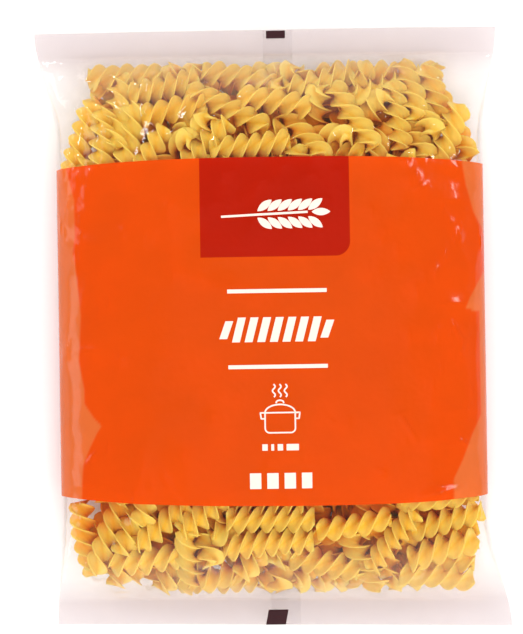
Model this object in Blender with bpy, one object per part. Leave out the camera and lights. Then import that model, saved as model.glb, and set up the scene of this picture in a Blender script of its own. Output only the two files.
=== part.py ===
"""A filled pillow bag of dry pasta, shut and lying on its back: one closed solid.

The bag is a loft. Every section across it is a flattened oval, and the ovals
thin down to the two flat end seals. Lengths are metres. The bag's length runs
along Y, its top end is at +Y, and it rests on the floor at Z = 0.
"""

import bpy
import numpy as np

LENGTH = 0.246
SEAL_DEPTH = 0.010
SEAL_THICKNESS = 0.0008
SEAL_HEIGHT = 0.015
SEAL_CURL = 0.003
BODY_WIDTH = 0.176
TOP_SEAL_WIDTH = 0.191
TOP_SEAL_SHIFT = -0.0012
BOTTOM_SEAL_WIDTH = 0.187
BOTTOM_SEAL_SHIFT = 0.0035
BOTTOM_EDGE_SKEW = 0.003
FLARE_LENGTH = 0.042

THICKNESS = 0.044
SIDE_HEIGHT = 0.017
CROWN_POWER = 2.3
UNDERSIDE_POWER = 4.0
TAPER_POWER = 4.2
TAPER_ROOT = 1.35
UNDERSIDE_FILL_RATE = 1.6
CURL_TURNS = 2.6
CURL_PHASE = 0.9
SEAL_LINE_START = 0.55

LUMP_HEIGHT = 0.0011
LUMP_PITCH = 0.031
# Each wave's share across the bag, its share along it and its phase.
LUMP_WAVES = ((0.93, 0.41, 0.7), (-0.52, 0.88, 2.1), (0.38, 1.24, 4.0))
PUCKER_DEPTH = 0.0036
PUCKER_PITCH = 0.0175
PUCKER_REACH = 0.026
PUCKER_START = 0.25
PUCKER_PHASE = 0.8
SECOND_PUCKER_SHARE = 0.5
SECOND_PUCKER_RATE = 1.63
SECOND_PUCKER_PHASE = 1.9
SIDE_PLEAT_DEPTH = 0.0009
SIDE_PLEAT_PITCH = 0.019
SIDE_PLEAT_PHASE = 1.3
SIDE_PLEAT_POWER = 6

FIN_WIDTH = 0.012
FIN_OFFSET = 0.004
FIN_CREASE_DEPTH = 0.0006
FIN_CREASE_WIDTH = 0.0012
FIN_CREASE_FADE = 4.0

CROWN_STEPS = 34
UNDERSIDE_STEPS = 28
BODY_STATIONS = 68
SEAL_STATIONS = 4

FILM_COLOUR = (0.82, 0.27, 0.05, 1.0)
FILM_ROUGHNESS = 0.18


def smooth_step(value):
    """An S curve: 0 below 0, 1 above 1, level at both ends."""
    held = np.clip(value, 0.0, 1.0)
    return held * held * (3.0 - 2.0 * held)


def station_places():
    """Places along the bag: close together near the end seals, where it tapers most."""
    inner = LENGTH / 2 - SEAL_DEPTH
    body = inner * np.sin(np.linspace(-np.pi / 2, np.pi / 2, BODY_STATIONS))
    upper_seal = np.linspace(inner, LENGTH / 2, SEAL_STATIONS)[1:]
    return np.concatenate([-upper_seal[::-1], body, upper_seal])


def fullness(along):
    """How full the bag is at a place along it: 1 over most of the middle, 0 at the seals."""
    inner = LENGTH / 2 - SEAL_DEPTH
    reach = np.clip(np.abs(along) / inner, 0.0, 1.0)
    return (1.0 - reach**TAPER_POWER) ** (1.0 / TAPER_ROOT)


def side_edges(along):
    """The X of the left and the right edge: even along the body, flared to the seals."""
    distance = LENGTH / 2 - np.abs(along)
    flare = smooth_step(1.0 - distance / FLARE_LENGTH)
    at_top = along > 0.0
    seal_width = np.where(at_top, TOP_SEAL_WIDTH, BOTTOM_SEAL_WIDTH)
    seal_shift = np.where(at_top, TOP_SEAL_SHIFT, BOTTOM_SEAL_SHIFT)
    half = BODY_WIDTH / 2 + flare * (seal_width - BODY_WIDTH) / 2
    middle = flare * seal_shift
    return middle - half, middle + half


def section_fractions():
    """Places round a section from -1 (left edge) to 1 (right edge), crown then underside.

    The underside has extra places at the two edges of the folded back seam.
    """
    crown = -np.cos(np.linspace(0.0, np.pi, CROWN_STEPS + 1))
    under = np.cos(np.linspace(0.0, np.pi, UNDERSIDE_STEPS + 1))[1:-1]
    edges = FIN_OFFSET + np.array([-0.5, 0.5]) * FIN_WIDTH
    shifts = np.array([-0.5, 0.0, 0.5]) * FIN_CREASE_WIDTH
    creases = (edges[:, None] + shifts[None, :]).ravel() / (BODY_WIDTH / 2)
    clear = np.abs(under[:, None] - creases[None, :]).min(axis=1) > FIN_CREASE_WIDTH / BODY_WIDTH * 2
    under = np.sort(np.concatenate([under[clear], creases]))[::-1]
    return crown, under


def lumps(across, along):
    """Soft swellings where the filling presses the film: a sum of three crossed waves."""
    turn = 2.0 * np.pi / LUMP_PITCH
    waves = np.zeros_like(across)
    for share_across, share_along, phase in LUMP_WAVES:
        waves = waves + np.sin(turn * (share_across * across + share_along * along) + phase)
    return LUMP_HEIGHT * waves / 2.0


def puckers(across, along):
    """Gathers that start at each seal and die away into the body."""
    distance = np.clip(LENGTH / 2 - SEAL_DEPTH - np.abs(along), 0.0, None)
    start = smooth_step(distance / (PUCKER_START * PUCKER_REACH))
    strength = start * np.exp(-distance / PUCKER_REACH)
    turn = 2.0 * np.pi / PUCKER_PITCH
    first = np.cos(turn * across + PUCKER_PHASE * np.sign(along))
    second = np.cos(SECOND_PUCKER_RATE * turn * across + SECOND_PUCKER_PHASE)
    return PUCKER_DEPTH * strength * (first + SECOND_PUCKER_SHARE * second)


def side_pleats(fraction, along):
    """Short folds across each side edge, strongest at the edge itself."""
    strength = np.abs(fraction) ** SIDE_PLEAT_POWER * fullness(along)
    wave = np.cos(2.0 * np.pi * along / SIDE_PLEAT_PITCH + SIDE_PLEAT_PHASE * np.sign(fraction))
    return SIDE_PLEAT_DEPTH * strength * wave


def back_creases(across, along):
    """The lines along both edges of the back seam's fin, which lies folded flat."""
    edges = FIN_OFFSET + np.array([-0.5, 0.5]) * FIN_WIDTH
    nearest = np.abs(across[..., None] - edges).min(axis=-1)
    line = np.clip(1.0 - nearest / (FIN_CREASE_WIDTH / 2), 0.0, 1.0)
    return FIN_CREASE_DEPTH * line * smooth_step(fullness(along) * FIN_CREASE_FADE)


def side_line(across_fraction, along):
    """The height of the bag's side edges and seals, with a slight curl along each seal."""
    inner = LENGTH / 2 - SEAL_DEPTH
    near_seal = smooth_step((np.abs(along) / inner - SEAL_LINE_START) / (1.0 - SEAL_LINE_START))
    height = SIDE_HEIGHT + (SEAL_HEIGHT - SIDE_HEIGHT) * near_seal
    wave = np.sin(CURL_TURNS * across_fraction + CURL_PHASE * np.sign(along))
    return height + SEAL_CURL * near_seal * wave * np.abs(across_fraction)


def section_points(along):
    """One closed section: the crown from left to right, then the underside back again."""
    crown, under = section_fractions()
    fraction = np.concatenate([crown, under])
    is_crown = np.arange(len(fraction)) < len(crown)
    left, right = side_edges(along)
    across = (left + right) / 2 + fraction * (right - left) / 2
    full = fullness(along)
    middle = side_line(fraction, along)
    power = np.where(is_crown, CROWN_POWER, UNDERSIDE_POWER)
    arch = (1.0 - np.abs(fraction) ** power) ** (1.0 / power)
    rim = SEAL_THICKNESS / 2
    swelling = lumps(across, along) * full + puckers(across, along) * arch
    above = rim + full * (THICKNESS - SIDE_HEIGHT) * arch + swelling * arch
    below = rim + full * middle * arch * smooth_step(full * UNDERSIDE_FILL_RATE)
    height = np.where(is_crown, middle + above, middle - below)
    height = height + side_pleats(fraction, along) * (1.0 - arch)
    height = np.where(is_crown, height, np.maximum(height, 0.0) + back_creases(across, along))
    skew = np.where(along < 0.0, -BOTTOM_EDGE_SKEW, 0.0) * smooth_step(-along / (LENGTH / 2))
    forward = along + skew * fraction / 2 + np.zeros_like(across)
    return np.stack([across, forward, height], axis=-1)


def bag_mesh():
    """The loft through all the sections, each end closed by one thin face.

    The bag is then moved so that the middle of its outline is over the origin.
    """
    places = station_places()
    rings = np.stack([section_points(place) for place in places])
    box_middle = (rings.min(axis=(0, 1)) + rings.max(axis=(0, 1))) / 2
    rings = rings - box_middle * np.array([1.0, 1.0, 0.0])
    count = rings.shape[1]
    index = np.arange(rings.shape[0] * count).reshape(rings.shape[0], count)
    ahead = np.roll(index, -1, axis=1)
    sides = np.stack([index[:-1], ahead[:-1], ahead[1:], index[1:]], axis=-1).reshape(-1, 4)
    faces = [tuple(face) for face in sides.tolist()]
    faces.append(tuple(index[0][::-1].tolist()))
    faces.append(tuple(index[-1].tolist()))
    mesh = bpy.data.meshes.new("bag")
    mesh.from_pydata(rings.reshape(-1, 3).tolist(), [], faces)
    mesh.update()
    return mesh


def film_material():
    """Printed glossy packing film over the filling."""
    material = bpy.data.materials.new("printed_film")
    material.use_nodes = True
    shader = material.node_tree.nodes["Principled BSDF"]
    shader.inputs["Base Color"].default_value = FILM_COLOUR
    shader.inputs["Roughness"].default_value = FILM_ROUGHNESS
    return material


def main():
    for old in list(bpy.data.objects):
        bpy.data.objects.remove(old, do_unlink=True)
    pack = bpy.data.collections.new("pasta_packet")
    bpy.context.scene.collection.children.link(pack)
    bag = bpy.data.objects.new("bag", bag_mesh())
    pack.objects.link(bag)
    bag.data.materials.append(film_material())
    for face in bag.data.polygons:
        face.use_smooth = True


main()
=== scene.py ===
"""A filled pillow bag of dry pasta spirals, lying on its back with its printed front up.

The bag is clear film with a band of print all the way round its middle, a flat
seal at each end and a fin seam down its back. The spirals are packed by a small
contact solver, and the film is then drawn over the pile. Lengths are metres.
"""

import functools
import math

import bpy
import numpy as np
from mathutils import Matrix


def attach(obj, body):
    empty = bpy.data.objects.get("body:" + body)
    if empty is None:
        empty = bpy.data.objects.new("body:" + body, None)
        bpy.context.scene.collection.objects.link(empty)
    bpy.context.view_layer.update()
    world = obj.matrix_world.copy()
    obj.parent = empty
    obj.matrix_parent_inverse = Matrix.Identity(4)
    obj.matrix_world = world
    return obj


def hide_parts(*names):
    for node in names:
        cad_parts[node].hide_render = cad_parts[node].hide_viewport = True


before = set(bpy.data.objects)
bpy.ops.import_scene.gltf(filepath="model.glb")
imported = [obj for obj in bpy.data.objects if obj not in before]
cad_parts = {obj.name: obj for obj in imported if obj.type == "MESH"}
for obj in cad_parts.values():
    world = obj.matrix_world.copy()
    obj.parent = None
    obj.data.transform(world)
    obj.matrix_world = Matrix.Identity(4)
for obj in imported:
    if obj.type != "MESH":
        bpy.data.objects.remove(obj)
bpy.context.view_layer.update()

bl_info = {
    "name": "Pasta packet",
    "version": (1, 0, 0),
    "blender": (4, 5, 0),
    "location": "View3D > Sidebar > Packet",
    "description": "Builds a clear pillow bag of pasta spirals with a printed band",
    "category": "Object",
}

MM = 0.001

# The bag's form, with the same formula and sizes as its solid.
SEAL_DEPTH = 10.0 * MM
SEAL_HEIGHT = 15.0 * MM
SEAL_CURL = 3.0 * MM
TOP_SEAL_WIDTH = 191.0 * MM
TOP_SEAL_SHIFT = -1.2 * MM
BOTTOM_SEAL_WIDTH = 187.0 * MM
BOTTOM_SEAL_SHIFT = 3.5 * MM
BOTTOM_EDGE_SKEW = 3.0 * MM
FLARE_LENGTH = 42.0 * MM
CROWN_POWER = 2.3
UNDERSIDE_POWER = 4.0
TAPER_POWER = 4.2
TAPER_ROOT = 1.35
UNDERSIDE_FILL_RATE = 1.6
CURL_TURNS = 2.6
CURL_PHASE = 0.9
SEAL_LINE_START = 0.55
SEAL_LINE_LENGTH = 0.45
FIN_MIDDLE = 4.0 * MM
FIN_WIDTH = 12.0 * MM
FIN_LIFT = 0.7 * MM

# The film's grid: places across the front, across the back and along the bag.
FRONT_STEPS = 280
BACK_STEPS = 150
SEAL_ROWS = 22
BODY_ROW_SPACING = 1.0 * MM
FILM_GAP = 0.35 * MM
SEAL_GAP = 0.12 * MM
FLOOR_GAP = 0.05 * MM
BACK_SLACK = 0.1 * MM
FRONT_SLACK = 1.0 * MM
FRONT_PULL = 0.0075
FRONT_ROUNDS = 400
BACK_PULL = 0.03
BACK_ROUNDS = 160
CRIMP_HEIGHT = 0.10 * MM
CRIMP_PITCH = 1.25 * MM
BAND_BOW = 0.045
BOW_START = 70.0 * MM
BOW_FADE = 40.0 * MM
INK_GLOW = 0.36
INK_EDGE = 0.12 * MM
DOUGH_GLOW = 0.24
WHITE = (1.0, 1.0, 1.0)
CLEAR_TINT = (0.998, 0.993, 0.993, 1.0)
HAZE_AND_VEIL_COLOUR = (0.84, 0.79, 0.79, 1.0)
# Where the painted reflection veil and the seal tint grow towards the seals.
VEIL_AND_TINT_START = 84.0 * MM
VEIL_AND_TINT_END = 113.0 * MM
LEAST_HAZE = 0.007
MOST_MIRROR = 0.3
PANEL_LEFT = -28.6 * MM
PANEL_RIGHT = 32.0 * MM
PANEL_BOTTOM = 28.6 * MM
PANEL_CORNER = 6.0 * MM
PANEL_LOWEST = 22.0 * MM
PANEL_FAR = 90.0 * MM
FLAT_BOTTOM = 9.0 * MM
FLAT_FADE = 5.0 * MM

# Spirals: how they are cut and how closely they settle.
BLADES = 3
SPIRAL_RINGS = 26
PACKING_RADIUS = 4.1 * MM
SIDE_ROOM = 7.4 * MM
SEAL_ROOM = 7.2 * MM
TIP_ROOM = 3.0 * MM
# Depths in the heap over which the painted shade deepens the pasta's colour.
DEPTH_START = 5.5 * MM
DEPTH_END = 12.0 * MM
HELD_GAP = 0.5 * MM
BAND_ROOM = 2.0 * MM
BAND_ROOM_END = 74.0 * MM
BAND_ROOM_FADE = 7.0 * MM
CORNER_START = 74.0 * MM
CORNER_LENGTH = 32.0 * MM
TOP_CORNER_ROOM = 17.0 * MM
BOTTOM_CORNER_ROOM = 7.0 * MM
BEADS = 5
SETTLING_ROUNDS = 320
END_SHARE = 0.8
SEED = 23

# Print: the most between its points in mm, and how far it stands off the film.
PRINT_SPACING = 0.5
PRINT_LIFT = 0.12 * MM

# Lamps: name, place, width and height in metres, radiance, and whether the film mirrors it.
LAMPS = (
    ("overhead", (0.22, -0.40, 1.9), 1.6, 1.6, 3.05, False),
    ("soft_left", (-0.90, 0.10, 0.26), 0.9, 0.24, 3.6, True),
    ("soft_right", (0.95, -0.05, 0.26), 0.9, 0.14, 6.0, False),
    ("soft_top", (0.0, 0.95, 0.40), 0.9, 0.35, 4.4, False),
    ("soft_bottom", (0.10, -0.95, 0.36), 0.9, 0.3, 8.2, False),
    ("key_left", (-0.55, 0.45, 0.55), 0.30, 0.06, 34.0, True),
    ("key_right", (0.60, 0.30, 0.48), 0.22, 0.045, 30.0, True),
)
SKY_STRENGTH = 0.25

# Spirals that lie against the front of the bag, in the upper and lower windows:
# X and Y of the middle in mm, heading and tilt in degrees, length in mm.
FRONT_SPIRALS = (
    (-60, 108, 10, 4, 32), (-43, 99, 12, 0, 30), (-17, 89, -19, 3, 37),
    (-39, 90, 22, 0, 27), (-8, 74, 4, 0, 33), (-12, 105, -26, -6, 31),
    (21, 101, 13, 0, 29), (33, 92, 63, 5, 36), (41, 85, 52, 30, 28),
    (52, 86, -78, 0, 29), (58, 100, -82, 10, 27), (68, 93, -80, 0, 29),
    (74, 76, 38, 0, 31), (-78, 78, 69, 0, 32), (-68, 76, 84, -10, 30),
    (-57, 79, 75, 0, 28), (-39, 75, 20, 60, 26), (-28, 77, 80, 48, 28),
    (14, 78, -50, 35, 30), (-79, -86, 81, 0, 31), (-69, -85, 65, 0, 33),
    (-54, -95, 6, 0, 29), (-46, -80, 40, 0, 28), (-30, -84, -70, 25, 28),
    (-2, -78, 0, 0, 36), (-3, -88, 5, 0, 37), (-19, -101, 16, -25, 28),
    (32, -81, 9, 0, 31), (48, -88, 48, 0, 31), (71, -80, 10, 0, 31),
    (69, -92, 13, 0, 30), (66, -104, -6, -4, 31), (20, -97, -12, 8, 29),
)

# Sharp dents in the film of the front, each a straight ridge:
# X and Y of its middle in mm, heading in degrees, length, width and height in mm.
FRONT_CREASES = (
    (-44, -62, -62, 9, 2.6, 0.9), (-40, -70, -20, 7, 2.4, 0.8),
    (23, -38, -40, 6, 2.2, 0.6), (54, -41, -58, 16, 2.8, 0.9),
    (51, -36, 20, 8, 2.4, 0.6), (78, -49, -35, 7, 2.4, 0.8),
    (43, -59, -30, 6, 2.2, 0.6), (75, -2, -62, 11, 2.8, 0.8),
    (61, 57, 25, 8, 2.6, 0.7), (-74, -53, 50, 8, 2.4, 0.7),
    (-58, 92, -40, 12, 3.2, 1.6), (-67, 76, 84, 20, 3.0, 1.4),
    (-80, 88, 12, 16, 4.5, 2.2), (68, -69, 8, 22, 6.0, 1.4),
    (-38, -88, 72, 18, 3.0, 1.2), (88, -92, 60, 14, 3.0, 0.9),
)


# Where the tube lies flat with no pasta in it, and the band is painted lighter:
# Y and X in mm of the inner limits.
FLAT_LEFT = (
    (-72, -79), (-55, -78), (-48, -75), (-42, -72), (-39, -70),
    (-36, -73), (-30, -77), (-24, -77), (-13, -79), (6, -78),
    (27, -80), (32, -81), (38, -80), (53, -80), (69, -84),
)
FLAT_RIGHT = (
    (-72, 73), (-63, 73), (-55, 77), (-45, 81), (-37, 85),
    (5, 85), (6.5, 79), (11, 81), (18, 85), (25, 90),
    (36, 90), (39, 87), (46, 83), (57, 80), (69, 78),
)


def linear(code):
    """An sRGB hex code as linear red, green and blue."""
    values = np.array([int(code[i : i + 2], 16) for i in (0, 2, 4)]) / 255.0
    curved = np.where(values <= 0.04045, values / 12.92, ((values + 0.055) / 1.055) ** 2.4)
    return tuple(float(value) for value in curved)


def smooth_step(value):
    """An S curve: 0 below 0, 1 above 1, level at both ends."""
    held = np.clip(value, 0.0, 1.0)
    return held * held * (3.0 - 2.0 * held)


# ---- settings


def length_setting(name, description, default):
    return bpy.props.FloatProperty(
        name=name, description=description, default=default, unit="LENGTH"
    )


def colour_setting(name, description, code):
    return bpy.props.FloatVectorProperty(
        name=name, description=description, subtype="COLOR", default=linear(code)
    )


class PacketSizes(bpy.types.PropertyGroup):
    """The driving sizes of the packet."""

    length: length_setting("Length", "From end seal to end seal", 0.246)
    width: length_setting("Filled width", "Across the filled body", 0.176)
    thickness: length_setting("Thickness", "Height of the filled body", 0.044)
    side_height: length_setting("Side height", "Height of the side edges", 0.017)
    band_top: length_setting("Band top", "Upper edge of the printed band", 0.0690)
    band_bottom: length_setting("Band bottom", "Lower edge of the printed band", -0.0722)
    spirals: bpy.props.IntProperty(
        name="Spirals", description="How many pasta spirals fill the bag", default=320, min=1
    )
    spiral_length: length_setting("Spiral length", "Mean length of a spiral", 0.032)
    spiral_radius: length_setting("Spiral radius", "From axis to blade tip", 0.0056)
    spiral_pitch: length_setting("Spiral pitch", "Length of one full turn", 0.0178)


class PacketColours(bpy.types.PropertyGroup):
    """The colours of the print and the pasta, some of them painted light and shade."""

    band: colour_setting("Band", "Ink of the band", "EE5306")
    panel: colour_setting("Panel", "Ink of the small panel", "C31F03")
    # Painted reflection: the paler orange of the band where the tube lies flat at its sides.
    band_flat_painted_light: colour_setting("Flat sides", "Band where no pasta backs it", "EB7638")
    shapes: colour_setting("Shapes", "Ink of the pale shapes", "FBE0D2")
    mark: colour_setting("Eye marks", "Ink of the end marks", "3A1E22")
    # Painted highlight: the pale colour of the blade edges.
    pasta_ridge_highlight: colour_setting("Pasta ridge", "Dry blade edges", "FFE46C")
    # Painted shade: the deeper colour of the dough by the axis, in the grooves.
    pasta_root_shade: colour_setting("Pasta root", "Dense dough by the axis", "FFCA38")
    # Painted shade: the deep orange of pasta deep in the heap, standing in for shade and light
    # bounced among the spirals.
    pasta_heap_shade: colour_setting("Pasta in the heap", "Dough lit only by its neighbours", "FF9E0E")
    pasta_glow: colour_setting("Pasta glow", "Light that has passed through dough", "FFBA2C")


def sizes():
    return bpy.context.scene.packet_sizes


def colours():
    return bpy.context.scene.packet_colours


# ---- the bag's form


def fullness(along):
    """How full the bag is: 1 over most of the middle and 0 at the seals."""
    inner = sizes().length / 2 - SEAL_DEPTH
    reach = np.clip(np.abs(along) / inner, 0.0, 1.0)
    return (1.0 - reach**TAPER_POWER) ** (1.0 / TAPER_ROOT)


def side_edges(along):
    """The X of the left and right edges: even along the body, flared to the seals."""
    body = sizes().width
    flare = smooth_step(1.0 - (sizes().length / 2 - np.abs(along)) / FLARE_LENGTH)
    at_top = along > 0.0
    seal = np.where(at_top, TOP_SEAL_WIDTH, BOTTOM_SEAL_WIDTH)
    shift = np.where(at_top, TOP_SEAL_SHIFT, BOTTOM_SEAL_SHIFT)
    half = body / 2 + flare * (seal - body) / 2
    return flare * shift - half, flare * shift + half


def side_line(fraction, along):
    """The height of the side edges and seals, with a slight curl along each seal."""
    inner = sizes().length / 2 - SEAL_DEPTH
    near_seal = smooth_step((np.abs(along) / inner - SEAL_LINE_START) / SEAL_LINE_LENGTH)
    height = sizes().side_height + (SEAL_HEIGHT - sizes().side_height) * near_seal
    curl = SEAL_CURL * near_seal * np.sin(CURL_TURNS * fraction + CURL_PHASE * np.sign(along))
    return height + curl * np.abs(fraction)


def crown_height(fraction, along):
    """The front: the side line plus an oval arch, as high as the bag is full."""
    arch = (1.0 - np.abs(fraction) ** CROWN_POWER) ** (1.0 / CROWN_POWER)
    rise = sizes().thickness - sizes().side_height
    return side_line(fraction, along) + fullness(along) * rise * arch


def underside_height(fraction, along):
    """The back: the side line less a flatter arch, cut level where it meets the floor."""
    arch = (1.0 - np.abs(fraction) ** UNDERSIDE_POWER) ** (1.0 / UNDERSIDE_POWER)
    full = fullness(along)
    middle = side_line(fraction, along)
    pressed = smooth_step(full * UNDERSIDE_FILL_RATE)
    return np.maximum(middle - full * middle * arch * pressed, 0.0)


def fraction_at(across, along):
    """Where an X lies between the side edges: -1 at the left, 1 at the right."""
    left, right = side_edges(along)
    return np.clip((across - (left + right) / 2) / ((right - left) / 2), -1.0, 1.0)


# ---- packing the spirals


def starting_rods(random):
    """Middles, headings and lengths of all spirals: those of the front list, then random ones."""
    count = sizes().spirals
    chosen = np.array(FRONT_SPIRALS, float)
    loose = count - len(chosen)
    inner = sizes().length / 2 - 0.019
    spread = random.uniform(-1.0, 1.0, loose)
    middles = np.stack(
        [
            random.uniform(-0.076, 0.076, loose),
            inner * np.sign(spread) * np.abs(spread) ** END_SHARE,
            random.uniform(0.006, 0.034, loose),
        ],
        axis=-1,
    )
    heading = np.radians(np.concatenate([chosen[:, 2], random.uniform(0, 180, loose)]))
    tilt = np.radians(np.concatenate([chosen[:, 3], random.normal(0, 12, loose)]))
    front = np.concatenate([chosen[:, :2] * MM, np.full((len(chosen), 1), 0.034)], axis=1)
    drawn = sizes().spiral_length * random.normal(1.0, 0.09, loose)
    lengths = np.concatenate([chosen[:, 4] * MM, drawn])
    level = np.cos(tilt)
    headings = np.stack([np.cos(heading) * level, np.sin(heading) * level, np.sin(tilt)], axis=-1)
    return np.concatenate([front, middles]), headings, lengths, len(chosen)


def held_inside(beads, radius):
    """Beads moved inside the film: in from the seals and sides, then down from the roof or up."""
    inner = sizes().length / 2 - SEAL_DEPTH - SEAL_ROOM
    beads[:, 1] = np.clip(beads[:, 1], -inner, inner)
    left, right = side_edges(beads[:, 1])
    corner = smooth_step((np.abs(beads[:, 1]) - CORNER_START) / CORNER_LENGTH)
    room = SIDE_ROOM + corner * np.where(beads[:, 1] > 0.0, TOP_CORNER_ROOM, BOTTOM_CORNER_ROOM)
    beads[:, 0] = np.clip(beads[:, 0], left + room, right - room)
    fraction = fraction_at(beads[:, 0], beads[:, 1])
    low = underside_height(fraction, beads[:, 1])
    roof = crown_height(fraction, beads[:, 1])
    middle = (low + roof) / 2
    under_band = smooth_step((BAND_ROOM_END - np.abs(beads[:, 1])) / BAND_ROOM_FADE)
    radius = radius + BAND_ROOM * under_band
    beads[:, 2] = np.clip(
        beads[:, 2], np.minimum(low + radius, middle), np.maximum(roof - radius, middle)
    )
    tight = roof - low < 2.0 * (PACKING_RADIUS + HELD_GAP)
    beads[tight, 0] *= 0.985
    beads[tight, 1] *= 0.995
    return beads


@functools.lru_cache(maxsize=None)
def packed_spirals():
    """Rods that settle until they hardly overlap: a position-based contact solver.

    Each spiral is a row of beads. In each round, beads of different spirals that
    overlap are moved apart by half their overlap, all beads press a little upwards and are
    held inside the film, and each row of beads is made straight again. The chosen
    front spirals are first drawn back to their places, so a round ends inside the film.
    """
    random = np.random.default_rng(SEED)
    middles, headings, lengths, chosen = starting_rods(random)
    count = len(middles)
    places = np.linspace(-1.0, 1.0, BEADS)[None, :] * (lengths[:, None] / 2 - PACKING_RADIUS)
    owner = np.repeat(np.arange(count), BEADS)
    heavy = np.repeat(np.arange(count) < chosen, BEADS)
    home = middles.copy()
    home_headings = headings.copy()
    beads = middles[:, None] + places[..., None] * headings[:, None]
    near = 2.0 * PACKING_RADIUS
    for turn in range(SETTLING_ROUNDS):
        middles[:chosen, :2] += 0.3 * (home[:chosen, :2] - middles[:chosen, :2])
        headings[:chosen] += 0.15 * (home_headings[:chosen] - headings[:chosen])
        headings /= np.linalg.norm(headings, axis=1)[:, None]
        beads = middles[:, None] + places[..., None] * headings[:, None]
        flat = beads.reshape(-1, 3)
        if turn % 6 == 0:
            square = (flat * flat).sum(axis=1)
            apart = square[:, None] + square[None, :] - 2.0 * flat @ flat.T
            first, second = np.nonzero(apart < (near + 1.5 * MM) ** 2)
            keep = (first < second) & (owner[first] != owner[second])
            first = first[keep]
            second = second[keep]
        gap = flat[first] - flat[second]
        distance = np.sqrt((gap * gap).sum(axis=1)) + 1e-9
        overlap = np.clip(near - distance, 0.0, None)
        push = (overlap / distance)[:, None] * gap
        share = np.where(heavy[first] == heavy[second], 0.5, np.where(heavy[first], 0.08, 0.92))
        moved = np.zeros_like(flat)
        hits = np.zeros(len(flat))
        for axis in range(3):
            moved[:, axis] += np.bincount(first, push[:, axis] * share, len(flat))
            moved[:, axis] -= np.bincount(second, push[:, axis] * (1.0 - share), len(flat))
        touching = (overlap > 0.0).astype(float)
        hits += np.bincount(first, touching, len(flat)) + np.bincount(second, touching, len(flat))
        flat = flat + 1.25 * moved / np.maximum(hits, 1.0)[:, None]
        flat[~heavy, 2] += 0.01 * MM
        flat[heavy, 2] += 0.10 * MM
        flat = held_inside(flat, PACKING_RADIUS + HELD_GAP)
        beads = flat.reshape(count, BEADS, 3)
        middles = beads.mean(axis=1)
        headings = (beads * places[..., None]).sum(axis=1)
        headings /= np.linalg.norm(headings, axis=1)[:, None]
        beads = middles[:, None] + places[..., None] * headings[:, None]
    return middles, headings, lengths


# ---- the spirals' shape


def blade_section():
    """Outline of one cut across a spiral of unit radius: three thin curved blades.

    Each blade goes out along one side, round its tip and back along the other. The
    sides are a little closer at the tip, and the blade bends sideways by the square
    of the distance from the axis. The second value is that distance.
    """
    reach = np.array([0.15, 0.52, 0.80, 0.95, 1.0, 0.95, 0.80, 0.52])
    side = np.array([-0.26, -0.140, -0.132, -0.085, 0.0, 0.085, 0.132, 0.140])
    bend = 0.16 * reach**2
    turn = 2.0 * np.pi / BLADES * np.arange(BLADES)[:, None]
    along_blade = reach[None, :]
    across_blade = (side + bend)[None, :]
    x = along_blade * np.cos(turn) - across_blade * np.sin(turn)
    y = along_blade * np.sin(turn) + across_blade * np.cos(turn)
    return np.stack([x.ravel(), y.ravel()], axis=-1), np.tile(reach, BLADES)


@functools.lru_cache(maxsize=None)
def spiral_points():
    """Points of every spiral, as an array of spirals, rings and points round a ring.

    A ring is the blade section, turned in proportion to its distance along the axis
    and carried along a faintly bowed axis. Rings near the ends are a little smaller.
    A spiral whose tip would reach a seal is moved back by as much as it is past.
    """
    middles, headings, lengths = packed_spirals()
    random = np.random.default_rng(SEED + 1)
    count = len(middles)
    section, reach = blade_section()
    radius = sizes().spiral_radius * random.normal(1.0, 0.045, count)
    pitch = sizes().spiral_pitch * random.normal(1.0, 0.06, count)
    phase = random.uniform(0.0, 2.0 * np.pi, count)
    bow = random.normal(0.0, 0.9 * MM, count)
    bow_side = random.uniform(0.0, 2.0 * np.pi, count)
    upright = np.array([0.0, 0.0, 1.0]) + 0.01 * random.normal(size=(count, 3))
    side = np.cross(upright, headings)
    side /= np.linalg.norm(side, axis=1)[:, None]
    other = np.cross(headings, side)
    place = np.linspace(-1.0, 1.0, SPIRAL_RINGS)
    distance = place[None, :] * lengths[:, None] / 2
    turned = phase[:, None] - 2.0 * np.pi * distance / pitch[:, None]
    wobble = 1.0 + 0.05 * np.sin(1.7 * turned + phase[:, None] * 3.0)
    shrink = (1.0 - 0.16 * np.abs(place) ** 9)[None, :] * wobble
    scale = radius[:, None] * shrink
    u = section[None, None, :, 0]
    v = section[None, None, :, 1]
    cos = np.cos(turned)[..., None]
    sin = np.sin(turned)[..., None]
    first = scale[..., None] * (u * cos - v * sin)
    second = scale[..., None] * (u * sin + v * cos)
    curve = bow[:, None] * (place[None, :] ** 2 - 1.0 / 3.0)
    first = first + (curve * np.cos(bow_side)[:, None])[..., None]
    second = second + (curve * np.sin(bow_side)[:, None])[..., None]
    points = middles[:, None, None, :] + distance[..., None, None] * headings[:, None, None, :]
    points = points + first[..., None] * side[:, None, None, :]
    points = points + second[..., None] * other[:, None, None, :]
    limit = sizes().length / 2 - SEAL_DEPTH - TIP_ROOM
    past = np.abs(points[..., 1]).max(axis=(1, 2)) - limit
    inward = -np.sign(middles[:, 1]) * np.maximum(past, 0.0)
    points[..., 1] += inward[:, None, None]
    points[..., 2] = np.maximum(points[..., 2], 0.4 * MM)
    return points, reach


def depth_in_heap(points):
    """How deep each pasta point lies, from 0 near the film to 1 in the middle of the heap:
    its distance to the nearer face of the bag, between DEPTH_START and DEPTH_END."""
    x, y, z = points[..., 0], points[..., 1], points[..., 2]
    fraction = np.clip(fraction_at(x, y), -0.98, 0.98)
    to_front = crown_height(fraction, y) - z
    to_back = z - underside_height(fraction, y)
    near = np.minimum(to_front, to_back)
    return np.clip((near - DEPTH_START) / (DEPTH_END - DEPTH_START), 0.0, 1.0)


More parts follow.
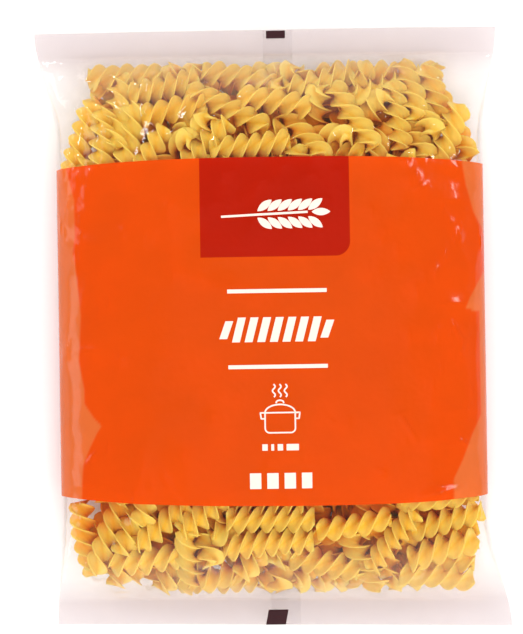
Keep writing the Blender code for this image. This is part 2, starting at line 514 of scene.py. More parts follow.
def point_values(piece, name, values):
    """One number at each point of a piece, for its material to read."""
    held = piece.data.attributes.new(name, "FLOAT", "POINT")
    held.data.foreach_set("value", np.ascontiguousarray(values.ravel(), np.float32))


def spiral_faces(count, around):
    """Quads between neighbouring rings, and one flat many-sided face on each cut end."""
    index = np.arange(count * SPIRAL_RINGS * around).reshape(count, SPIRAL_RINGS, around)
    ahead = np.roll(index, -1, axis=2)
    quads = np.stack([index[:, :-1], ahead[:, :-1], ahead[:, 1:], index[:, 1:]], axis=-1)
    faces = [tuple(face) for face in quads.reshape(-1, 4).tolist()]
    faces += [tuple(face) for face in index[:, 0, ::-1].tolist()]
    faces += [tuple(face) for face in index[:, -1].tolist()]
    return faces


# ---- the film's shape


def film_rows():
    """Y of the film's rows: fine in the seals, even between, one row on each band edge."""
    half = sizes().length / 2
    inner = half - SEAL_DEPTH
    stops = [-inner, sizes().band_bottom, sizes().band_top, inner]
    parts = [np.linspace(-half, -inner, SEAL_ROWS)[:-1]]
    for start, end in zip(stops[:-1], stops[1:]):
        steps = max(2, int(round((end - start) / BODY_ROW_SPACING)))
        parts.append(np.linspace(start, end, steps + 1)[:-1])
    parts.append(np.linspace(inner, half, SEAL_ROWS))
    return np.concatenate(parts)


def film_grid(steps):
    """Y, fraction across and X of every point on one side of the film."""
    fraction = -np.cos(np.linspace(0.0, np.pi, steps + 1))
    along, fraction = np.meshgrid(film_rows(), fraction, indexing="ij")
    left, right = side_edges(along)
    return along, fraction, (left + right) / 2 + fraction * (right - left) / 2


def film_along(along, fraction):
    """Y of a film row: pulled in at the sides, because there the film doesn't bulge."""
    bulge = np.clip(np.abs(along) / BOW_START, 0.0, 1.0)
    ease = smooth_step((sizes().length / 2 - SEAL_DEPTH - np.abs(along)) / BOW_FADE)
    half = sizes().length / 2
    skew = np.where(along < 0.0, -BOTTOM_EDGE_SKEW, 0.0) * smooth_step(-along / half)
    return along * (1.0 - BAND_BOW * bulge * ease * np.abs(fraction) ** 3) + skew * fraction / 2


def row_under(along, fraction):
    """The Y that a film row had before it was pulled in, given where it ended up: the
    difference that is left is added back three times."""
    before = along
    for _ in range(3):
        before = before + (along - film_along(before, fraction))
    return before


def pile_reach(steps, upwards):
    """How far the spirals reach in each cell of a film grid, up or down, with cells to spare."""
    points, _ = spiral_points()
    flat = points.reshape(-1, 3)
    rows = film_rows()
    fraction = fraction_at(flat[:, 0], flat[:, 1])
    column = np.rint(np.arccos(-fraction) / np.pi * steps).astype(int)
    row = np.clip(np.searchsorted(rows, row_under(flat[:, 1], fraction)), 0, len(rows) - 1)
    sign = 1.0 if upwards else -1.0
    reach = np.full((len(rows), steps + 1), -1.0)
    np.maximum.at(reach, (row, column), sign * flat[:, 2])
    wide = reach.copy()
    for down in (-2, -1, 0, 1):
        for aside in (-2, -1, 0, 1, 2):
            wide = np.maximum(wide, np.roll(reach, (down, aside), axis=(0, 1)))
    return wide


def drawn_over(base, reach, pull, rounds):
    """Film under tension over a pile: each point goes to the mean of its neighbours and a
    little towards its resting height, and is lifted wherever the pile is higher."""
    height = np.maximum(base, reach)
    for _ in range(rounds):
        mean = (height[:-2, 1:-1] + height[2:, 1:-1] + height[1:-1, :-2] + height[1:-1, 2:]) / 4
        inner = mean + pull * (base[1:-1, 1:-1] - mean)
        height[1:-1, 1:-1] = np.maximum(inner, reach[1:-1, 1:-1])
    return height


def ridged(value):
    """A wave with sharp crests and round hollows, from 0 to 1."""
    return 1.0 - np.abs(np.sin(value))


def end_gathers(across, along):
    """Gathers that start at each seal and die away into the body, with sharp crests."""
    distance = np.clip(sizes().length / 2 - SEAL_DEPTH - np.abs(along), 0.0, None)
    strength = smooth_step(distance / 0.006) * np.exp(-distance / 0.020)
    lean = across * (1.0 + 3.0 * distance)
    wave = ridged(np.pi * lean / 0.023 + 0.8 * np.sign(along))
    wave = wave + 0.7 * ridged(np.pi * lean / 0.0137 + 1.9)
    return 2.2 * MM * strength * wave


def side_pleats(fraction, along):
    """Short folds that run in from each side edge."""
    strength = smooth_step((np.abs(fraction) - 0.72) / 0.2) * (1.0 - np.abs(fraction) ** 12)
    phase = 1.3 * np.sign(fraction)
    wave = ridged(np.pi * along / 0.0145 + phase) * ridged(np.pi * along / 0.052 + 2.0 * phase)
    return 1.6 * MM * strength * wave * smooth_step(fullness(along) * 2.0)


def crimp(along):
    """The fine ribs that the sealing jaws press across each seal: a cosine along the bag."""
    return CRIMP_HEIGHT * np.cos(2.0 * np.pi * along / CRIMP_PITCH)


def crease_ridges(across, along):
    """The listed creases: a tent across each line, fading towards the line's ends."""
    total = np.zeros_like(across)
    for x, y, heading, length, width, height in FRONT_CREASES:
        angle = math.radians(heading)
        right = across - x * MM
        up = along - y * MM
        lengthwise = right * math.cos(angle) + up * math.sin(angle)
        sideways = up * math.cos(angle) - right * math.sin(angle)
        tent = np.clip(1.0 - np.abs(sideways) / (width * MM / 2), 0.0, 1.0)
        fade = np.clip(1.0 - (lengthwise / (length * MM / 2)) ** 2, 0.0, 1.0)
        total = np.maximum(total, height * MM * tent * fade)
    return total


def empty_side_light(points):
    """How empty the tube is under each film point, from 0 to 1: it rises over a millimetre
    past the inner limit of the flat stretch on either side, and fades out under the edge.
    It masks the painted reflection on the band's flat sides."""
    across = points[..., 0]
    left_rows, left = np.array(FLAT_LEFT).T * MM
    right_rows, right = np.array(FLAT_RIGHT).T * MM
    past_left = np.interp(points[..., 1], left_rows, left) - across
    past_right = across - np.interp(points[..., 1], right_rows, right)
    past = smooth_step(0.5 + np.maximum(past_left, past_right) / MM)
    return past * smooth_step((points[..., 2] - FLAT_BOTTOM) / FLAT_FADE)


@functools.lru_cache(maxsize=None)
def film_front():
    """Points of the front film, rows along the bag by places across it."""
    along, fraction, across = film_grid(FRONT_STEPS)
    resting = crown_height(fraction, along)
    in_seal = np.abs(along) >= sizes().length / 2 - SEAL_DEPTH
    base = resting - FRONT_SLACK * fullness(along) * (1.0 - np.abs(fraction) ** 4)
    reach = pile_reach(FRONT_STEPS, True) + FILM_GAP
    reach[in_seal] = -1.0
    height = drawn_over(base, reach, FRONT_PULL, FRONT_ROUNDS)
    height = height + end_gathers(across, along) * (1.0 - np.abs(fraction) ** 6) * ~in_seal
    height = height + side_pleats(fraction, along) + crease_ridges(across, along)
    height = np.where(in_seal, resting + SEAL_GAP + crimp(along), np.maximum(height, SEAL_GAP))
    return np.stack([across, film_along(along, fraction), height], axis=-1)


@functools.lru_cache(maxsize=None)
def film_back():
    """Points of the back film. It lies on the floor, a little higher over the folded seam."""
    along, fraction, across = film_grid(BACK_STEPS)
    resting = underside_height(fraction, along)
    in_seal = np.abs(along) >= sizes().length / 2 - SEAL_DEPTH
    reach = pile_reach(BACK_STEPS, False) + FILM_GAP
    reach[in_seal] = -1.0
    lifted = -drawn_over(-(resting + BACK_SLACK), reach, BACK_PULL, BACK_ROUNDS)
    seam = FIN_LIFT * smooth_step(2.0 - np.abs(across - FIN_MIDDLE) / (FIN_WIDTH / 2))
    height = np.maximum(lifted, FLOOR_GAP + seam)
    height = np.where(in_seal, side_line(fraction, along) - SEAL_GAP + crimp(along), height)
    front = film_front()
    height[:, 0] = front[:, 0, 2]
    height[:, -1] = front[:, -1, 2]
    return np.stack([across, film_along(along, fraction), height], axis=-1)


def front_height(across, along):
    """The front film's height at any X and Y, read between its grid points."""
    front = film_front()
    rows = film_rows()
    fraction = fraction_at(across, along)
    row = np.interp(row_under(along, fraction), rows, np.arange(len(rows)))
    column = np.arccos(-fraction) / np.pi * FRONT_STEPS
    r = np.clip(row.astype(int), 0, len(rows) - 2)
    c = np.clip(column.astype(int), 0, FRONT_STEPS - 1)
    down = row - r
    aside = column - c
    z = front[..., 2]
    near = z[r, c] * (1 - aside) + z[r, c + 1] * aside
    far = z[r + 1, c] * (1 - aside) + z[r + 1, c + 1] * aside
    return near * (1 - down) + far * down


# ---- meshes and materials


def new_piece(name, points, faces, material):
    """A mesh object at the origin, smooth shaded, that rides on the packet."""
    mesh = bpy.data.meshes.new(name)
    mesh.from_pydata(np.asarray(points).reshape(-1, 3).tolist(), [], faces)
    mesh.update()
    mesh.polygons.foreach_set("use_smooth", np.ones(len(mesh.polygons), bool))
    for one in material if isinstance(material, (list, tuple)) else [material]:
        mesh.materials.append(one)
    piece = bpy.data.objects.new(name, mesh)
    bpy.context.scene.collection.objects.link(piece)
    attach(piece, "root")
    return piece


def grid_faces(rows, columns, first=0):
    """Quads of a grid of points, facing up where X grows with the column and Y with the row."""
    index = first + np.arange(rows * columns).reshape(rows, columns)
    quads = np.stack([index[:-1, :-1], index[:-1, 1:], index[1:, 1:], index[1:, :-1]], axis=-1)
    return [tuple(face) for face in quads.reshape(-1, 4).tolist()]


def tube_faces(rows, around):
    """Quads between neighbouring rings of a closed tube, and one flat face on each end."""
    index = np.arange(rows * around).reshape(rows, around)
    ahead = np.roll(index, -1, axis=1)
    quads = np.stack([index[:-1], ahead[:-1], ahead[1:], index[1:]], axis=-1)
    faces = [tuple(face) for face in quads.reshape(-1, 4).tolist()]
    return faces + [tuple(index[0, ::-1].tolist()), tuple(index[-1].tolist())]


def print_band(piece, around):
    """Give a tube's faces between the band's edges its second material."""
    rows = film_rows()
    middle = (rows[:-1] + rows[1:]) / 2
    in_band = (middle > sizes().band_bottom) & (middle < sizes().band_top)
    slots = np.concatenate([np.repeat(in_band.astype(np.int32), around), [0, 0]])
    piece.data.polygons.foreach_set("material_index", slots.astype(np.int32))


def add_node(tree, kind, inputs=(), **settings):
    """A shader node with its settings, and its inputs either linked or set to a value."""
    node = tree.nodes.new(kind)
    for key, value in settings.items():
        setattr(node, key, value)
    for key, value in dict(inputs).items():
        if isinstance(value, bpy.types.NodeSocket):
            tree.links.new(value, node.inputs[key])
        else:
            node.inputs[key].default_value = value
    return node


def new_material(name):
    """An empty node material, with its tree and its output node."""
    material = bpy.data.materials.new(name)
    material.use_nodes = True
    tree = material.node_tree
    tree.nodes.clear()
    return material, tree, tree.nodes.new("ShaderNodeOutputMaterial")


def opaque(colour):
    return (*colour, 1.0)


def math_node(tree, operation, *values, **settings):
    """The result of one sum on numbers or sockets."""
    inputs = dict(enumerate(values))
    return add_node(tree, "ShaderNodeMath", inputs, operation=operation, **settings).outputs[0]


def ramp(tree, value, low, high, to_low=0.0, to_high=1.0):
    """A value's place between two limits, carried over to two others and held there."""
    inputs = {"Value": value, "From Min": low, "From Max": high}
    inputs |= {"To Min": to_low, "To Max": to_high}
    return add_node(tree, "ShaderNodeMapRange", inputs).outputs["Result"]


def noise(tree, place, scale, detail=2.0):
    inputs = {"Vector": place, "Scale": scale, "Detail": detail}
    return add_node(tree, "ShaderNodeTexNoise", inputs).outputs["Fac"]


def attribute(tree, name):
    return add_node(tree, "ShaderNodeAttribute", attribute_name=name).outputs["Fac"]


def mixed_colour(tree, factor, first, second):
    inputs = {"Factor": factor, "A": first, "B": second}
    return add_node(tree, "ShaderNodeMix", inputs, data_type="RGBA").outputs["Result"]


def mixed_shader(tree, factor, first, second):
    inputs = {"Fac": factor, 1: first.outputs[0], 2: second.outputs[0]}
    return add_node(tree, "ShaderNodeMixShader", inputs)


def object_place(tree):
    return add_node(tree, "ShaderNodeTexCoord").outputs["Object"]


def dry_semolina():
    """Dried semolina dough, pressed through a die: a waxy, faintly rough amber.

    The blade edges are painted a pale straw, a painted highlight, and the dough by the axis
    is painted a deeper colour, painted shade in the grooves between the blades. Light that
    has passed through a blade is amber. Deeper in the heap the colour is painted a deeper
    orange, painted shade that stands in for light that has met dough many times, so the
    gaps look orange and not grey.
    Fine specks are bran, and a soft cloudiness is uneven drying.
    """
    material, tree, output = new_material("dry_semolina")
    place = object_place(tree)
    # Painted highlight and shade: the ridge colour goes on the blade edges and the deeper root
    # colour by the axis, with the dough's own tone that varies at random.
    ridge = ramp(tree, attribute(tree, "blade_reach"), 0.15, 0.6)
    uneven = math_node(tree, "MULTIPLY_ADD", noise(tree, place, 240.0), 0.5, ridge)
    centred = math_node(tree, "SUBTRACT", uneven, 0.25)
    shifted = math_node(tree, "ADD", attribute(tree, "dough_tone"), centred, use_clamp=True)
    colour = mixed_colour(
        tree, shifted, opaque(colours().pasta_root_shade), opaque(colours().pasta_ridge_highlight)
    )
    # Painted shade: deeper in the heap the colour is mixed towards a deep orange.
    deep = attribute(tree, "depth_in_heap")
    heap_shaded = mixed_colour(tree, deep, colour, opaque(colours().pasta_heap_shade))
    grain = noise(tree, place, 1500.0)
    bump = add_node(
        tree, "ShaderNodeBump", {"Height": grain, "Strength": 0.25, "Distance": 0.0001}
    )
    shader = add_node(
        tree,
        "ShaderNodeBsdfPrincipled",
        {
            "Base Color": heap_shaded,
            "Roughness": 0.38,
            "IOR": 1.5,
            "Specular IOR Level": 0.3,
            "Subsurface Weight": 0.2,
            "Subsurface Radius": (1.0, 0.6, 0.2),
            "Subsurface Scale": 0.002,
            "Normal": bump.outputs["Normal"],
        },
    )
    glow = add_node(tree, "ShaderNodeBsdfTranslucent", {"Color": opaque(colours().pasta_glow)})
    both = mixed_shader(tree, DOUGH_GLOW, shader, glow)
    tree.links.new(both.outputs[0], output.inputs["Surface"])
    return material


def film_waves(tree, place, strength):
    """Shallow waves in stretched film, 25 mm and 7 mm across, as a normal."""
    broad = noise(tree, place, 40.0, 1.0)
    both = math_node(tree, "MULTIPLY_ADD", noise(tree, place, 140.0), 0.3, broad)
    bump = add_node(
        tree, "ShaderNodeBump", {"Height": both, "Strength": strength, "Distance": 0.004}
    )
    return bump.outputs["Normal"]


def clear_film(name, most_haze_and_veil, seal_tint):
    """Clear cast polypropylene film: nearly all light passes, and lamps show as sharp glints.

    The film has a faint haze of its own. Towards the seals the haze grows, a painted
    reflection: a white veil that stands in for the lamps mirrored where the film slopes
    to the seals. Where it is doubled at the seals the film also takes a faint grey-pink
    tint. Its mirror share grows where it turns away.
    """
    material, tree, output = new_material(name)
    place = object_place(tree)
    normal = film_waves(tree, place, 0.6)
    haze = add_node(
        tree,
        "ShaderNodeBsdfPrincipled",
        {"Base Color": HAZE_AND_VEIL_COLOUR, "Roughness": 0.5, "Specular IOR Level": 0.0},
    )
    split = add_node(tree, "ShaderNodeSeparateXYZ", {0: place})
    from_middle = math_node(tree, "ABSOLUTE", split.outputs["Y"])
    near_seal = ramp(tree, from_middle, VEIL_AND_TINT_START, VEIL_AND_TINT_END)
    # Painted reflection: the haze share grows towards the seals, above the film's own faint haze.
    haze_and_veil = ramp(tree, near_seal, 0.0, 1.0, LEAST_HAZE, most_haze_and_veil)
    doubled = math_node(tree, "POWER", near_seal, 4.0)
    tint = mixed_colour(tree, doubled, CLEAR_TINT, seal_tint)
    through = add_node(tree, "ShaderNodeBsdfTransparent", {"Color": tint})
    veiled = mixed_shader(tree, haze_and_veil, through, haze)
    gloss = add_node(
        tree, "ShaderNodeBsdfGlossy", {"Color": opaque(WHITE), "Roughness": 0.06, "Normal": normal}
    )
    mirror = add_node(tree, "ShaderNodeFresnel", {"IOR": 1.33, "Normal": normal})
    held = math_node(tree, "MINIMUM", mirror.outputs[0], MOST_MIRROR)
    mixed = mixed_shader(tree, held, veiled, gloss)
    tree.links.new(mixed.outputs[0], output.inputs["Surface"])
    return material


def between(tree, value, low, high):
    """1 where a value lies between two limits, with an edge as soft as ink on film."""
    above = ramp(tree, value, low - INK_EDGE, low + INK_EDGE)
    below = ramp(tree, value, high + INK_EDGE, high - INK_EDGE)
    return math_node(tree, "MULTIPLY", above, below)


def printed_film():
    """Reverse-printed polypropylene film: flat solid ink under a glossy face.

    The ink is even, with the faintest mottle of a printing roller, and it lets a little
    light through, which reddens the pasta beside the band. The panel hangs
    from the band's upper edge and has one rounded lower corner. Where the tube lies
    flat at its sides, the ink is painted a paler orange: a painted reflection, standing
    in for the reflection that the flat film shows there.
    """
    material, tree, output = new_material("printed_polypropylene_film")
    place = object_place(tree)
    normal = film_waves(tree, place, 0.30)
    split = add_node(tree, "ShaderNodeSeparateXYZ", {0: place})
    x, y, z = (split.outputs[axis] for axis in "XYZ")
    past_x = math_node(tree, "SUBTRACT", x, PANEL_RIGHT - PANEL_CORNER)
    past_y = math_node(tree, "SUBTRACT", PANEL_BOTTOM + PANEL_CORNER, y)
    held_x = math_node(tree, "MAXIMUM", past_x, 0.0)
    held_y = math_node(tree, "MAXIMUM", past_y, 0.0)
    joined = add_node(tree, "ShaderNodeCombineXYZ", {"X": held_x, "Y": held_y})
    away = add_node(tree, "ShaderNodeVectorMath", {0: joined.outputs[0]}, operation="LENGTH")
    shape = between(tree, x, PANEL_LEFT, PANEL_RIGHT)
    others = (
        (y, PANEL_BOTTOM, PANEL_FAR),
        (z, PANEL_LOWEST, PANEL_FAR),
        (away.outputs["Value"], -1.0, PANEL_CORNER),
    )
    for value, low, high in others:
        shape = math_node(tree, "MULTIPLY", shape, between(tree, value, low, high))
    ink = mixed_colour(tree, shape, opaque(colours().band), opaque(colours().panel))
    # Painted reflection: the ink is mixed towards a paler orange where the tube lies flat.
    ink_with_painted_light = mixed_colour(tree, attribute(tree, "empty_side_light"), ink, opaque(colours().band_flat_painted_light))
    value = ramp(tree, noise(tree, place, 60.0, 3.0), 0.3, 0.7, 0.97, 1.03)
    shade = add_node(tree, "ShaderNodeHueSaturation", {"Value": value, "Color": ink_with_painted_light})
    shader = add_node(
        tree,
        "ShaderNodeBsdfPrincipled",
        {
            "Base Color": shade.outputs[0],
            "Roughness": 0.14,
            "IOR": 1.5,
            "Specular IOR Level": 0.3,
            "Normal": normal,
        },
    )
    through = add_node(tree, "ShaderNodeBsdfTranslucent", {"Color": shade.outputs[0]})
    both = mixed_shader(tree, INK_GLOW, shader, through)
    tree.links.new(both.outputs[0], output.inputs["Surface"])
    return material


def solid_ink(name, colour):
    """A thick solid of ink on film, glossy as the film over it, with a faint roller mottle."""
    material, tree, output = new_material(name)
    value = ramp(tree, noise(tree, object_place(tree), 900.0), 0.3, 0.7, 0.93, 1.0)
    shade = add_node(tree, "ShaderNodeHueSaturation", {"Value": value, "Color": opaque(colour)})
    shader = add_node(
        tree,
        "ShaderNodeBsdfPrincipled",
        {"Base Color": shade.outputs[0], "Roughness": 0.2, "IOR": 1.5},
    )
    tree.links.new(shader.outputs[0], output.inputs["Surface"])
    return material


def pale_paper():
    """Pale matt paper for the floor, with the faintest fibre."""
    material, tree, output = new_material("pale_paper_floor")
    tint = ramp(tree, noise(tree, object_place(tree), 400.0), 0.0, 1.0, 0.93, 0.95)
    shader = add_node(tree, "ShaderNodeBsdfPrincipled", {"Base Color": tint, "Roughness": 0.9})
    tree.links.new(shader.outputs[0], output.inputs["Surface"])
    return material


# ---- print as flat shapes


def stroke(path, width):
    """A ribbon of a width along a path of X and Y in mm: the path moved to both sides by
    half the width along its normal."""
    path = np.asarray(path, float)
    heading = np.gradient(path, axis=0)
    heading /= np.linalg.norm(heading, axis=1)[:, None]
    normal = np.stack([heading[:, 1], -heading[:, 0]], axis=-1)
    aside = np.linspace(-0.5, 0.5, 3)[None, :, None] * width
    return path[:, None, :] + normal[:, None, :] * aside


def block(x0, x1, y0, y1, slant=0.0):
    """A four-sided field in mm, its top moved sideways by slant."""
    tall = 2 + int(math.ceil((y1 - y0) / PRINT_SPACING))
    wide = 2 + int(math.ceil((x1 - x0) / PRINT_SPACING))
    up = np.linspace(y0, y1, tall)[:, None] + np.zeros((1, wide))
    aside = np.linspace(x0, x1, wide)[None, :] + slant * (up - y0) / (y1 - y0)
    return np.stack([aside, up], axis=-1)


def leaf(x, y, length, width, heading):
    """A pointed oval in mm: half its width is the sine of its place along its length."""
    place = np.linspace(0.0, 1.0, 15)[:, None]
    aside = np.linspace(0.5, -0.5, 5)[None, :] * width * np.sin(np.pi * place) ** 0.8
    ahead = (place - 0.5) * length + np.zeros_like(aside)
    angle = math.radians(heading)
    return np.stack(
        [
            x + ahead * math.cos(angle) - aside * math.sin(angle),
            y + ahead * math.sin(angle) + aside * math.cos(angle),
        ],
        axis=-1,
    )


def line(x0, y0, x1, y1, steps=12):
    """Even points on a straight line."""
    return np.linspace((x0, y0), (x1, y1), steps)


def arc(x, y, radius_x, radius_y, start, end, steps=16):
    """Even points on part of an oval, between two angles in degrees."""
    turn = np.radians(np.linspace(start, end, steps))
    return np.stack([x + radius_x * np.cos(turn), y + radius_y * np.sin(turn)], axis=-1)


def pot_shapes(x, rim):
    """A cooking pot in outline, with lid, knob, side handles and three wisps of steam."""
    thin = 0.62
    half = 6.1
    deep = 8.1
    corner = 1.8
    side = np.concatenate(
        [
            line(x - half, rim, x - half, rim - deep + corner),
            arc(x - half + corner, rim - deep + corner, corner, corner, 190, 260, 8),
            line(x - half + corner, rim - deep, x + half - corner, rim - deep),
            arc(x + half - corner, rim - deep + corner, corner, corner, 280, 350, 8),
            line(x + half, rim - deep + corner, x + half, rim),
        ]
    )
    shapes = [
        stroke(side, thin),
        stroke(line(x - 8.2, rim, x + 8.2, rim, 24), thin),
        stroke(arc(x, rim, half, 3.3, 178, 2, 30), thin),
        stroke(arc(x, rim + 4.1, 1.5, 0.9, -20, 200, 16), thin),
    ]
    for sign in (-1, 1):
        grip = [(x + sign * half, rim - 2.4), (x + sign * 7.6, rim - 2.4)]
        shapes.append(stroke(line(*grip[0], *grip[1], 6), thin))
        shapes.append(stroke(line(x + sign * 8.0, rim, x + sign * 7.6, rim - 2.6, 6), thin))
    up = np.linspace(0.0, 5.2, 22)
    for shift in (-2.4, 0.0, 2.4):
        sway = 0.55 * np.sin(up * 2.0 * np.pi / 3.4)
        shapes.append(stroke(np.stack([x + shift + sway, rim + 6.3 + up], axis=-1), thin))
    return shapes


def ear_shapes(x, y):
    """A plain ear of grain lying on its side: a stalk with pairs of grains and a last one."""
    shapes = [stroke(line(x - 22.0, y - 1.5, x + 13.0, y, 40), 0.9)]
    for pair in range(6):
        at = x - 6.0 + pair * 4.1
        for sign in (-1, 1):
            shapes.append(leaf(at + 1.6, y - 0.8 + 0.06 * pair + sign * 3.6, 7.4, 3.0, sign * 38))
    shapes.append(leaf(x + 18.4, y, 7.6, 3.0, 0))
    return shapes


def twist_shapes(x, y):
    """A pasta twist in plain slanted fields, widest in the middle of its length."""
    count = 9
    pitch = 5.1
    shapes = []
    for k in range(count):
        shift = (k - (count - 1) / 2) * pitch
        tall = 10.0 if 0 < k < count - 1 else 7.2
        shapes.append(block(x + shift - 2.9, x + shift + 0.3, y - tall / 2, y + tall / 2, 2.6))
    return shapes


def plain_row(x, y, widths, tall, gap):
    """A row of plain blocks of given widths, centred on x."""
    total = sum(widths) + gap * (len(widths) - 1)
    at = x - total / 2
    shapes = []
    for width in widths:
        shapes.append(block(at, at + width, y - tall / 2, y + tall / 2))
        at += width + gap
    return shapes


def laid_on_front(name, shapes, material):
    """Flat shapes in mm laid on the front film, each a little proud of it."""
    points = []
    faces = []
    first = 0
    for shape in shapes:
        x = shape[..., 0] * MM
        y = shape[..., 1] * MM
        z = front_height(x, y) + PRINT_LIFT
        rows, columns = x.shape
        quads = grid_faces(rows, columns, first)
        middle = shape[rows // 2, -1] - shape[rows // 2, 0]
        ahead = shape[rows // 2 + 1, columns // 2] - shape[rows // 2, columns // 2]
        if middle[0] * ahead[1] - middle[1] * ahead[0] < 0.0:
            quads = [face[::-1] for face in quads]
        points.append(np.stack([x, y, z], axis=-1).reshape(-1, 3))
        faces += quads
        first += rows * columns
    return new_piece(name, np.concatenate(points), faces, material)


# ---- operators


class PACKET_OT_pasta(bpy.types.Operator):
    """Fill the bag with packed pasta spirals"""

    bl_idname = "packet.pasta"
    bl_label = "Pasta spirals"

    def execute(self, context):
        points, reach = spiral_points()
        material = dry_semolina()
        random = np.random.default_rng(SEED + 2)
        tone = random.normal(0.0, 0.16, len(points))
        middle = points[:, :, :, 1].mean(axis=(1, 2))
        groups = {
            "spirals_upper": middle > 0.040,
            "spirals_middle": np.abs(middle) <= 0.040,
            "spirals_lower": middle < -0.040,
        }
        for name, chosen in groups.items():
            some = points[chosen]
            if not len(some):
                raise RuntimeError(f"{name} holds no spirals")
            faces = spiral_faces(len(some), some.shape[2])
            piece = new_piece(name, some, faces, material)
            shape = some.shape[:3]
            # blade_reach places the painted highlight on the blade edges and the painted shade by
            # the axis.
            point_values(piece, "blade_reach", np.broadcast_to(reach, shape))
            point_values(piece, "dough_tone", np.broadcast_to(tone[chosen, None, None], shape))
            # depth_in_heap places the painted shade deep in the heap.
            point_values(piece, "depth_in_heap", depth_in_heap(some))
        return {"FINISHED"}


class PACKET_OT_film(bpy.types.Operator):
    """Draw the film over the pasta: clear windows and a printed band in one closed skin"""

    bl_idname = "packet.film"
    bl_label = "Film"

    def execute(self, context):
        front = film_front()
        back = film_back()
        ring = np.concatenate([front, back[:, -2:0:-1]], axis=1)
        rows, around = ring.shape[:2]
        window = clear_film("clear_polypropylene_film", 0.13, (0.90, 0.855, 0.86, 1.0))
        materials = [window, printed_film()]
        film = new_piece("film", ring, tube_faces(rows, around), materials)
        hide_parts("bag")
        print_band(film, around)
        # Mask for the painted reflection on the band's flat sides.
        point_values(film, "empty_side_light", empty_side_light(ring))
        return {"FINISHED"}


class PACKET_OT_print(bpy.types.Operator):
    """Lay the pale shapes and the dark eye marks on the front"""

    bl_idname = "packet.print"
    bl_label = "Print"

    def execute(self, context):
        pale = solid_ink("pale_print_ink", colours().shapes)
        shapes = [block(-18.0, 22.2, 14.0, 15.6), block(-18.0, 22.2, -16.6, -15.0)]
        shapes += twist_shapes(1.8, -0.8)
        shapes += pot_shapes(2.6, -34.4)
        shapes += ear_shapes(2.0, 46.5)
        shapes += plain_row(2.6, -48.4, (2.2, 1.2, 2.2, 5.0), 2.6, 1.4)
        shapes += plain_row(2.6, -62.0, (4.6, 4.6, 4.6, 4.2), 6.4, 2.4)
        laid_on_front("front_print", shapes, pale)
        dark = solid_ink("dark_mark_ink", colours().mark)
        marks = [block(-0.6, 7.2, 119.4, 122.6), block(-4.4, 3.8, -123.0, -116.8, 1.2)]
        laid_on_front("eye_marks", marks, dark)
        return {"FINISHED"}


class PACKET_OT_seam(bpy.types.Operator):
    """Fold the back seam's fin flat against the back"""

    bl_idname = "packet.seam"
    bl_label = "Back seam"

    def execute(self, context):
        back = film_back()
        rows = film_rows()
        across = FIN_MIDDLE + np.linspace(-0.5, 0.5, 9) * FIN_WIDTH
        fraction = fraction_at(across[None, :], rows[:, None])
        column = np.arccos(-fraction) / np.pi * BACK_STEPS
        c = np.clip(column.astype(int), 0, BACK_STEPS - 1)
        aside = column - c
        r = np.arange(len(rows))[:, None]
        film = back[r, c] * (1 - aside)[..., None] + back[r, c + 1] * aside[..., None]
        upper = film - np.array([0.0, 0.0, 0.15 * MM])
        lower = film - np.array([0.0, 0.0, 0.45 * MM])
        ring = np.concatenate([upper, lower[:, ::-1]], axis=1)
        count, around = ring.shape[:2]
        materials = [clear_film("clear_pressed_seam_film", 0.01, (0.99, 0.985, 0.985, 1.0))]
        materials.append(bpy.data.materials["printed_polypropylene_film"])
        seam = new_piece("back_seam", ring, tube_faces(count, around), materials)
        print_band(seam, around)
        return {"FINISHED"}


def add_lamp(name, place, wide, tall, radiance, mirrored):
    """A white softbox that faces the packet. Its power is radiance times pi times its area."""
    data = bpy.data.lights.new(name, "AREA")
    data.shape = "RECTANGLE"
    data.size = wide
    data.size_y = tall
    data.energy = radiance * math.pi * wide * tall
    lamp = bpy.data.objects.new(name, data)
    lamp.location = place
    lamp.rotation_euler = vector_to_euler(-np.array(place))
    lamp.visible_glossy = mirrored
    bpy.context.scene.collection.objects.link(lamp)


def vector_to_euler(direction):
    """The turn that points an object's -Z along a direction, with its X kept level."""
    flat = math.hypot(direction[0], direction[1])
    turn = math.atan2(direction[1], direction[0]) - math.pi / 2
    return (math.atan2(flat, -direction[2]), 0.0, turn)


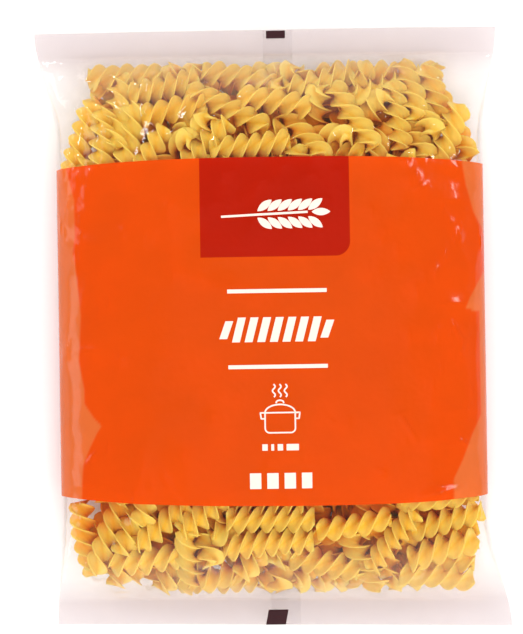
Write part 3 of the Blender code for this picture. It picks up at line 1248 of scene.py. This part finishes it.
class PACKET_OT_stage(bpy.types.Operator):
    """Set the pale floor, the soft studio lamps and the camera that looks straight down"""

    bl_idname = "packet.stage"
    bl_label = "Stage"

    def execute(self, context):
        scene = context.scene
        scene.view_settings.view_transform = "Standard"
        x, y = np.meshgrid(np.linspace(-2.0, 2.0, 5), np.linspace(-2.0, 2.0, 5))
        level = np.stack([x, y, np.zeros_like(x)], axis=-1).reshape(-1, 3)
        mesh = bpy.data.meshes.new("floor")
        mesh.from_pydata(level.tolist(), [], grid_faces(5, 5))
        mesh.materials.append(pale_paper())
        floor = bpy.data.objects.new("floor", mesh)
        scene.collection.objects.link(floor)
        world = bpy.data.worlds.new("studio")
        world.use_nodes = True
        sky = world.node_tree.nodes["Background"]
        sky.inputs["Color"].default_value = opaque(WHITE)
        sky.inputs["Strength"].default_value = SKY_STRENGTH
        scene.world = world
        for lamp in LAMPS:
            add_lamp(*lamp)
        data = bpy.data.cameras.new("camera")
        data.sensor_fit = "VERTICAL"
        data.sensor_height = 24.0
        distance = 1.15
        data.lens = data.sensor_height * distance / 0.2618
        camera = bpy.data.objects.new("camera", data)
        camera.location = (-0.0043, 0.0043, distance + sizes().side_height)
        camera.rotation_euler = (0.0, 0.0, math.radians(-0.9))
        scene.collection.objects.link(camera)
        scene.camera = camera
        return {"FINISHED"}


class PACKET_PT_panel(bpy.types.Panel):
    """A sidebar panel with the packet's operators and its sizes and colours"""

    bl_idname = "PACKET_PT_panel"
    bl_label = "Pasta packet"
    bl_space_type = "VIEW_3D"
    bl_region_type = "UI"
    bl_category = "Packet"

    def draw(self, context):
        for operator in OPERATORS:
            self.layout.operator(operator.bl_idname)
        for group in (context.scene.packet_sizes, context.scene.packet_colours):
            for name in group.__annotations__:
                self.layout.prop(group, name)


OPERATORS = (PACKET_OT_pasta, PACKET_OT_film, PACKET_OT_print, PACKET_OT_seam, PACKET_OT_stage)
CLASSES = (PacketSizes, PacketColours, *OPERATORS, PACKET_PT_panel)


def register():
    for one in CLASSES:
        bpy.utils.register_class(one)
    bpy.types.Scene.packet_sizes = bpy.props.PointerProperty(type=PacketSizes)
    bpy.types.Scene.packet_colours = bpy.props.PointerProperty(type=PacketColours)


def unregister():
    del bpy.types.Scene.packet_colours
    del bpy.types.Scene.packet_sizes
    for one in reversed(CLASSES):
        bpy.utils.unregister_class(one)


def main():
    register()
    bpy.ops.packet.pasta()
    bpy.ops.packet.film()
    bpy.ops.packet.print()
    bpy.ops.packet.seam()
    bpy.ops.packet.stage()


if __name__ == "__main__":
    main()
